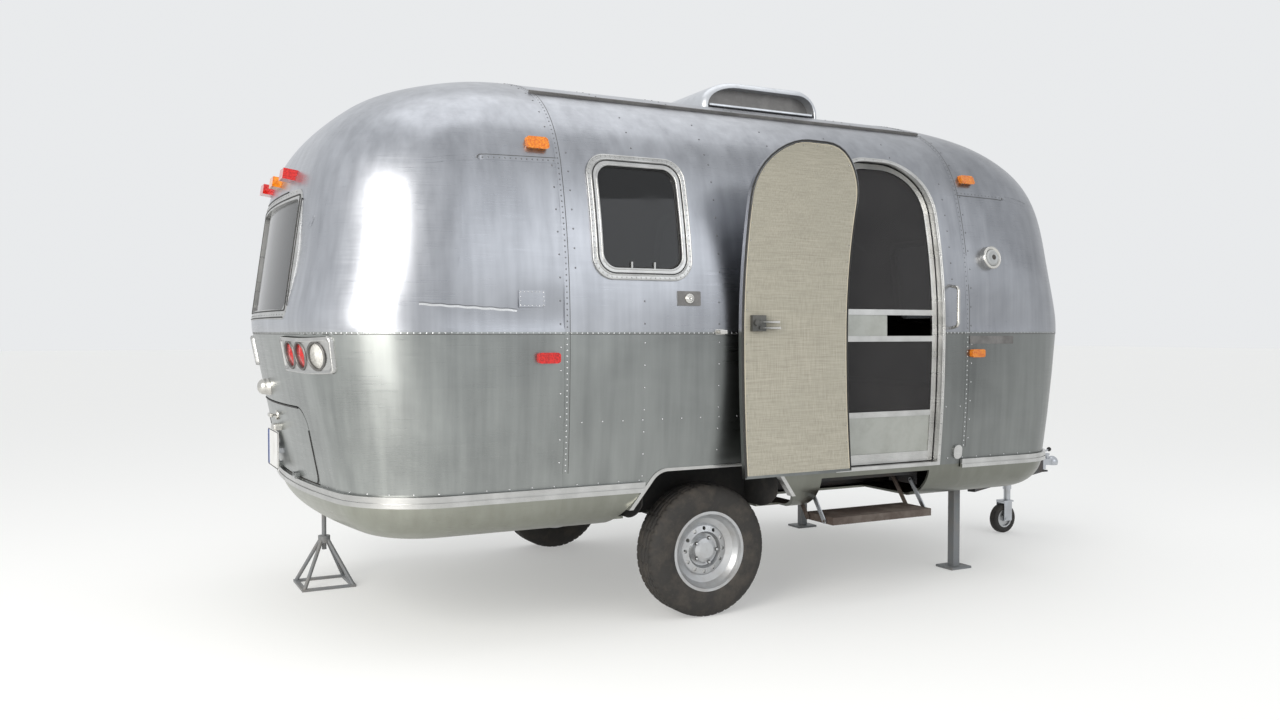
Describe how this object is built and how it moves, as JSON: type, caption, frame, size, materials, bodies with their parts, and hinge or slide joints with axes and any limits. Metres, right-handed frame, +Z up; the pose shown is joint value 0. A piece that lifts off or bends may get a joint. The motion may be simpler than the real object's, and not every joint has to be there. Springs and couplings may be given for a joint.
{
  "type": "travel caravan",
  "caption": "Rounded riveted aluminium touring caravan on one axle, with entry door, screen door, folding step, rear hatch and towing drawbar.",
  "frame": {"origin": "on the floor, under the middle of the whole outline; the caravan's own centreline lies at y = +0.133 m because the entry door rests open on the right side", "axes": "+X forward to the coupling, +Y to the left side, +Z up"},
  "size_m": [5.7948, 2.6793, 2.9684],
  "materials": {
    "skin": "riveted aluminium sheet, dulled by weather",
    "belly_sheet": "dulled aluminium sheet",
    "trim": "extruded aluminium",
    "floor_board": "sealed plywood",
    "well_sheet": "black underseal",
    "window_glass": "smoked glazing",
    "liner": "beige woven-look vinyl",
    "lock_metal": "plated, worn",
    "screen_mesh": "fine insect mesh",
    "screen_panel": "grey anodised sheet",
    "vent_plastic": "satin metal hood",
    "lens_amber": "moulded amber lens",
    "lens_red": "moulded red lens",
    "lens_clear": "moulded clear lens",
    "frame_steel": "black chassis paint",
    "zinc": "zinc plated steel",
    "stand_paint": "dark grey paint",
    "tyre_rubber": "worn rubber",
    "rim_paint": "silver wheel paint",
    "step_paint": "brown paint with rust"
  },
  "bodies": {
    "root": {"wall_right": "skin", "wall_left": "skin", "roof": "skin", "end_rear_lower": "skin", "end_rear_upper": "skin", "end_front_lower": "skin", "end_front_upper": "skin", "belly_pan": "belly_sheet", "belly_sides": "belly_sheet", "belly_ends": "belly_sheet", "floor": "floor_board", "wheel_wells": "well_sheet", "door_frame": "trim", "side_window_frames": "trim", "side_window_panes": "window_glass", "end_window_frames": "trim", "end_window_panes": "window_glass", "rub_rail": "trim", "arch_trims": "trim", "gutters": "trim", "roof_vent": "vent_plastic", "tail_lamp_bezels": "trim", "tail_lenses_red": "lens_red", "tail_lenses_white": "lens_clear", "marker_lamps_amber": "lens_amber", "marker_lamps_red": "lens_red", "side_fittings": "trim", "porch_lamp": "lens_clear", "grab_handle": "lock_metal", "hinges": "trim", "axle": "frame_steel", "chassis": "frame_steel", "drawbar": "frame_steel", "coupling": "zinc", "jockey_tube": "zinc", "rear_stand": "stand_paint", "front_stands": "stand_paint", "step_hanger": "frame_steel"},
    "entry_door": {"door_leaf": "skin", "door_liner": "liner", "door_lock": "lock_metal"},
    "screen_door": {"screen_frame": "trim", "screen_mesh": "screen_mesh", "screen_panels": "screen_panel"},
    "hatch": {"rear_hatch": "skin"},
    "wheel_right": {"tyre_right": "tyre_rubber", "rim_right": "rim_paint"},
    "wheel_left": {"tyre_left": "tyre_rubber", "rim_left": "rim_paint"},
    "jockey_leg": {"jockey_stem": "zinc"},
    "jockey_roller": {"jockey_wheel": "tyre_rubber"},
    "step_links_front": {"step_links_outer": "zinc"},
    "step_tread": {"step_tread": "step_paint"},
    "step_links_back": {"step_links_inner": "step_paint"}
  },
  "joints": [
    {"name": "entry_door_swing", "type": "hinge", "parent": "root", "child": "entry_door", "pos_m": [-0.0935, -1.085, 1.525], "axis": [0, 0, -1], "range_deg": [-178, 0]},
    {"name": "screen_door_swing", "type": "hinge", "parent": "root", "child": "screen_door", "pos_m": [-0.0655, -1.0235, 1.475], "axis": [0, 0, -1], "range_deg": [0, 95]},
    {"name": "hatch_drop", "type": "hinge", "parent": "root", "child": "hatch", "pos_m": [-2.76178, 0.133, 0.743], "axis": [0, -1, 0], "range_deg": [0, 90]},
    {"name": "wheel_right_spin", "type": "hinge", "parent": "root", "child": "wheel_right", "pos_m": [-0.8555, -0.877, 0.34], "axis": [0, 1, 0], "continuous": true},
    {"name": "wheel_left_spin", "type": "hinge", "parent": "root", "child": "wheel_left", "pos_m": [-0.8555, 1.143, 0.34], "axis": [0, 1, 0], "continuous": true},
    {"name": "jockey_swivel", "type": "hinge", "parent": "root", "child": "jockey_leg", "pos_m": [2.3045, 0.053, 0.465], "axis": [0, 0, 1], "continuous": true},
    {"name": "jockey_spin", "type": "hinge", "parent": "jockey_leg", "child": "jockey_roller", "pos_m": [2.2595, 0.053, 0.105], "axis": [0, 1, 0], "continuous": true},
    {"name": "step_fold", "type": "hinge", "parent": "root", "child": "step_links_front", "pos_m": [0.1795, -0.897, 0.615], "axis": [-1, 0, 0], "range_deg": [-110, 0]},
    {"name": "step_level", "type": "hinge", "parent": "step_links_front", "child": "step_tread", "pos_m": [0.1795, -1.022, 0.45], "axis": [-1, 0, 0], "range_deg": [-1, 111]},
    {"name": "step_follow", "type": "hinge", "parent": "root", "child": "step_links_back", "pos_m": [0.1795, -0.747, 0.615], "axis": [-1, 0, 0], "range_deg": [-111, 1]}
  ],
  "couplings": [
    {"joint": "step_level", "follows": "step_fold", "ratio": -1},
    {"joint": "step_follow", "follows": "step_fold", "ratio": 1}
  ]
}
